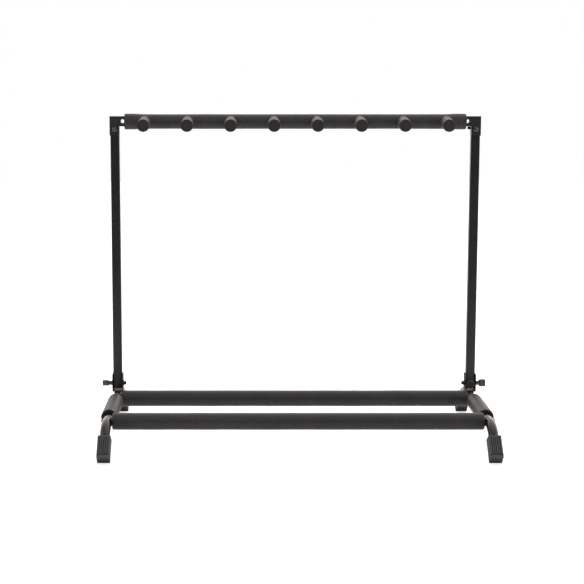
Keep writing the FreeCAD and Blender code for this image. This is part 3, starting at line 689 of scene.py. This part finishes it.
# ---- build ----
foam_cover("front_cross_cover", "front_cross_foam", "x", "base")
foam_cover("rear_cross_cover", "rear_cross_foam", "x", "base")
for side in SIDES:
    foam_cover(side + "_arch_cover", side + "_arch_sleeve", "y", "base")
    boot("front", side)
    boot("rear", side)
rail_cover()
for number in PEGS:
    peg_cover(number)

# the first key found in a node's name decides, so the keys of small hardware come first
NODE_MATERIALS = {
    "screws": BLACK_ZINC, "inserts": BLACK_PLASTIC, "plugs": BLACK_PLASTIC, "corner_bolts": DOME_BLACK,
    "pivot_bolt": BLACK_OXIDE, "head_washers": BLACK_OXIDE, "washer": BLACK_ZINC,
    "bushing": BRIGHT_STEEL, "peg_rod": BRIGHT_STEEL, "rail_bolts": BRIGHT_STEEL, "rail_nuts": BRIGHT_STEEL,
    "thumb_knob": GREY_PLASTIC, "wing_nut": BLACK_PLASTIC, "lock_knob": LOCK_PLASTIC,
    "base_bracket": BASE_PAINT, "corner_bracket": BRACKET_PAINT, "upright": UPRIGHT_PAINT,
    "arch_tube": TUBE_PAINT, "cross_tube": TUBE_PAINT, "rail_tube": TUBE_PAINT,
    "foam": FOAM, "sleeve": FOAM, "boot": RUBBER,
}
for node_name, node_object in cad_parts.items():
    chosen = next(material for key, material in NODE_MATERIALS.items() if key in node_name)
    node_object.data.materials.clear()
    node_object.data.materials.append(chosen)


# ---- stage ----
def floor_material():
    """matt white, which glows more for the camera so that it meets the white background"""
    material, nodes, links, shader, place = new_material("studio_white")
    tone = noise_node(nodes, links, place, 0.8)
    dark, light = ((shade, shade, shade) for shade in FLOOR_SHADES)
    links.new(ramp(nodes, links, tone, [(0.0, dark), (1.0, light)]), shader.inputs["Base Color"])
    shader.inputs["Roughness"].default_value = 0.9
    shader.inputs["Specular IOR Level"].default_value = 0.1
    glow = nodes.new("ShaderNodeMapRange")
    glow.inputs["To Min"].default_value = FLOOR_BOUNCE
    glow.inputs["To Max"].default_value = FLOOR_GLOW
    links.new(nodes.new("ShaderNodeLightPath").outputs["Is Camera Ray"], glow.inputs["Value"])
    shader.inputs["Emission Color"].default_value = (1.0, 1.0, 1.0, 1.0)
    links.new(glow.outputs["Result"], shader.inputs["Emission Strength"])
    return material


def floor():
    target = bmesh.new()
    bmesh.ops.create_grid(target, x_segments=8, y_segments=8, size=FLOOR_HALF)
    for vert in target.verts:
        vert.co.y += FLOOR_HALF + FLOOR_FRONT
    mesh = bpy.data.meshes.new("studio_floor")
    target.to_mesh(mesh)
    target.free()
    mesh.materials.append(floor_material())
    plane = bpy.data.objects.new("studio_floor", mesh)
    plane.location.z = -FLOOR_DROP
    bpy.context.scene.collection.objects.link(plane)


def studio_world():
    """bright behind the object and dim on the unlit side in front; the camera itself sees white"""
    world = bpy.data.worlds.new("studio")
    world.use_nodes = True
    bpy.context.scene.world = world
    nodes = world.node_tree.nodes
    links = world.node_tree.links
    facing = vector_node(nodes, links, "DOT_PRODUCT", nodes.new("ShaderNodeTexCoord").outputs["Generated"])
    facing.inputs[1].default_value = Vector(UNLIT_SIDE).normalized()
    turn = nodes.new("ShaderNodeMapRange")
    turn.inputs["From Min"].default_value = -1.0
    links.new(facing.outputs["Value"], turn.inputs["Value"])
    camera_ray = nodes.new("ShaderNodeLightPath").outputs["Is Camera Ray"]
    colour, lit_socket, camera_socket = colour_mix(nodes, links, camera_ray)
    links.new(ramp(nodes, links, turn.outputs["Result"], WORLD_STOPS), lit_socket)
    camera_socket.default_value = (1.0, 1.0, 1.0, 1.0)
    background = nodes["Background"]
    links.new(colour, background.inputs["Color"])
    background.inputs["Strength"].default_value = 1.0


def soft_light(name, at, towards, size, power):
    data = bpy.data.lights.new(name, "AREA")
    data.shape = "RECTANGLE"
    data.size = size[0]
    data.size_y = size[1]
    data.energy = power
    lamp = bpy.data.objects.new(name, data)
    lamp.location = at
    lamp.rotation_euler = (Vector(towards) - Vector(at)).to_track_quat("-Z", "Y").to_euler()
    bpy.context.scene.collection.objects.link(lamp)


def camera():
    data = bpy.data.cameras.new("camera")
    data.lens = LENS
    data.sensor_width = SENSOR
    data.shift_x = SHIFT[0]
    data.shift_y = SHIFT[1]
    data.clip_end = CLIP_END
    eye = bpy.data.objects.new("camera", data)
    eye.location = CAMERA_AT
    eye.rotation_euler = (math.pi / 2 - CAMERA_DOWN, 0, 0)
    bpy.context.scene.collection.objects.link(eye)
    bpy.context.scene.camera = eye


floor()
studio_world()
for lamp_name, at, towards, size, power in LAMPS:
    soft_light(lamp_name, at, towards, size, power)
camera()
bpy.context.scene.view_settings.view_transform = "Standard"
